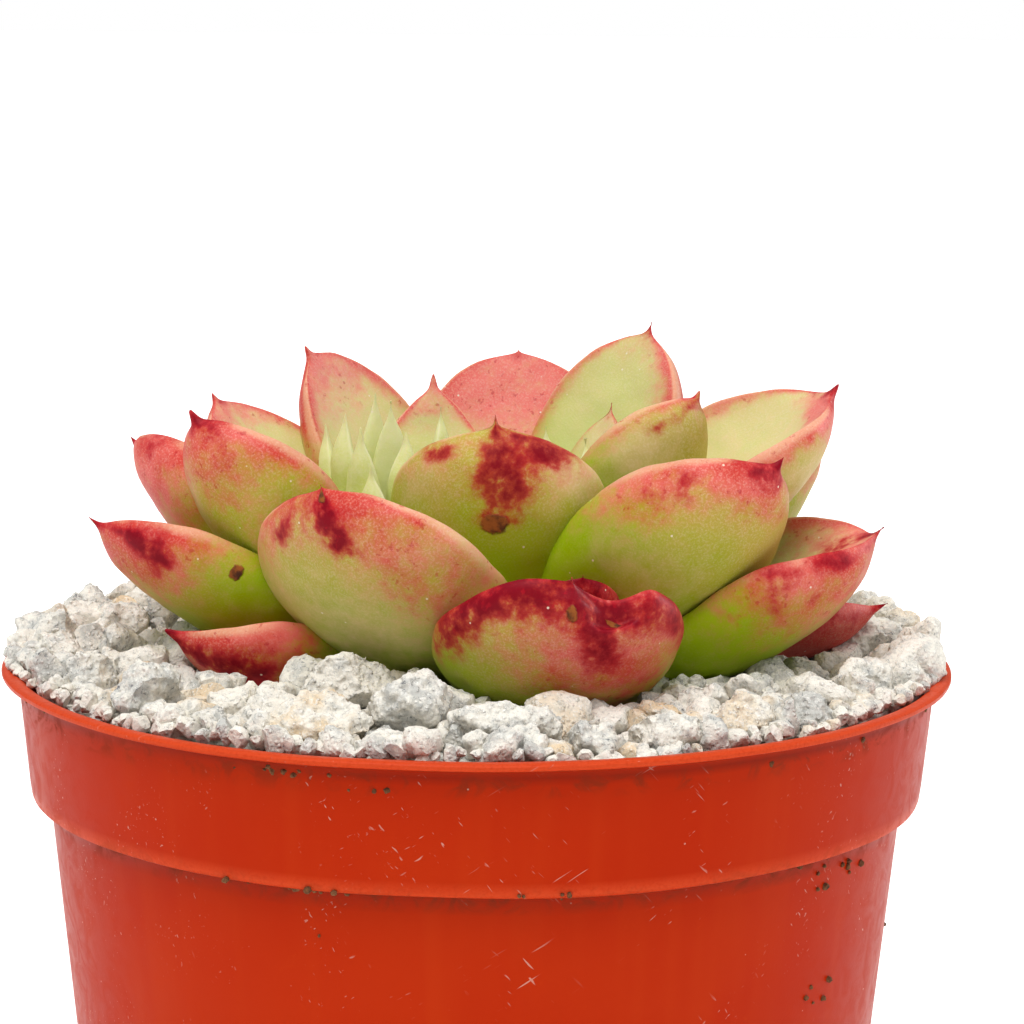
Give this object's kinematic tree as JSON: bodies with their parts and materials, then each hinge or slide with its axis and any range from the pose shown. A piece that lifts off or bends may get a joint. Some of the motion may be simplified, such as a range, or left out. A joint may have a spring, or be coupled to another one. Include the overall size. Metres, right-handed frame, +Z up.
{
  "type": "potted succulent",
  "caption": "Rosette succulent with thick pointed leaves on a short forked stem, in a round tapered nursery pot with a stepped collar, topped with pumice gravel.",
  "frame": {"origin": "centre of the pot's foot, on the surface the pot stands on", "axes": "+Z up along the pot's axis, +X to the right and +Y away when the two growing points stand side by side with the notched leaf in front"},
  "size_m": [0.085, 0.085, 0.104],
  "materials": {
    "pot_plastic": "satin, moulded, slightly scratched",
    "potting_mix": "crumbly peat and bark mix",
    "pumice": "rough, porous",
    "stem_bark": "dry, fibrous",
    "young_leaf": "smooth, faintly powdered",
    "leaf_skin": "smooth, faintly powdered, red at tips and edges"
  },
  "bodies": {
    "root": {"leaf_back_centre": "leaf_skin", "leaf_back_left_low": "leaf_skin", "leaf_back_left_mid": "leaf_skin", "leaf_back_left_tall": "leaf_skin", "leaf_back_low": "leaf_skin", "leaf_back_right_low": "leaf_skin", "leaf_back_right_mid": "leaf_skin", "leaf_back_right_tall": "leaf_skin", "leaf_bud_left_1": "young_leaf", "leaf_bud_left_2": "young_leaf", "leaf_bud_left_3": "young_leaf", "leaf_bud_left_4": "young_leaf", "leaf_bud_left_5": "young_leaf", "leaf_bud_left_6": "young_leaf", "leaf_bud_left_7": "young_leaf", "leaf_bud_left_8": "young_leaf", "leaf_bud_right_1": "young_leaf", "leaf_bud_right_2": "young_leaf", "leaf_bud_right_3": "young_leaf", "leaf_front_centre": "leaf_skin", "leaf_front_left": "leaf_skin", "leaf_front_notched": "leaf_skin", "leaf_front_right": "leaf_skin", "leaf_front_small": "leaf_skin", "leaf_left_bottom": "leaf_skin", "leaf_left_low": "leaf_skin", "leaf_left_middle": "leaf_skin", "leaf_left_rear": "leaf_skin", "leaf_left_upper": "leaf_skin", "leaf_middle_back": "leaf_skin", "leaf_middle_inner": "leaf_skin", "leaf_middle_left": "leaf_skin", "leaf_middle_right": "leaf_skin", "leaf_right_bottom": "leaf_skin", "leaf_right_high": "leaf_skin", "leaf_right_inner": "leaf_skin", "leaf_right_low": "leaf_skin", "leaf_right_rear": "leaf_skin", "pot": "pot_plastic", "pumice_bed": "pumice", "stem_and_roots": "stem_bark", "stone_front_a": "pumice", "stone_front_b": "pumice", "stone_front_c": "pumice", "stone_front_d": "pumice", "stone_front_e": "pumice", "stone_front_f": "pumice", "stone_front_g": "pumice", "stone_front_h": "pumice", "stone_left_a": "pumice", "stone_left_b": "pumice", "stone_left_c": "pumice", "stone_left_d": "pumice", "stone_rear_a": "pumice", "stone_rear_b": "pumice", "stone_right_a": "pumice", "stone_right_b": "pumice", "stone_right_c": "pumice", "stone_right_d": "pumice", "substrate": "potting_mix"}
  },
  "joints": []
}
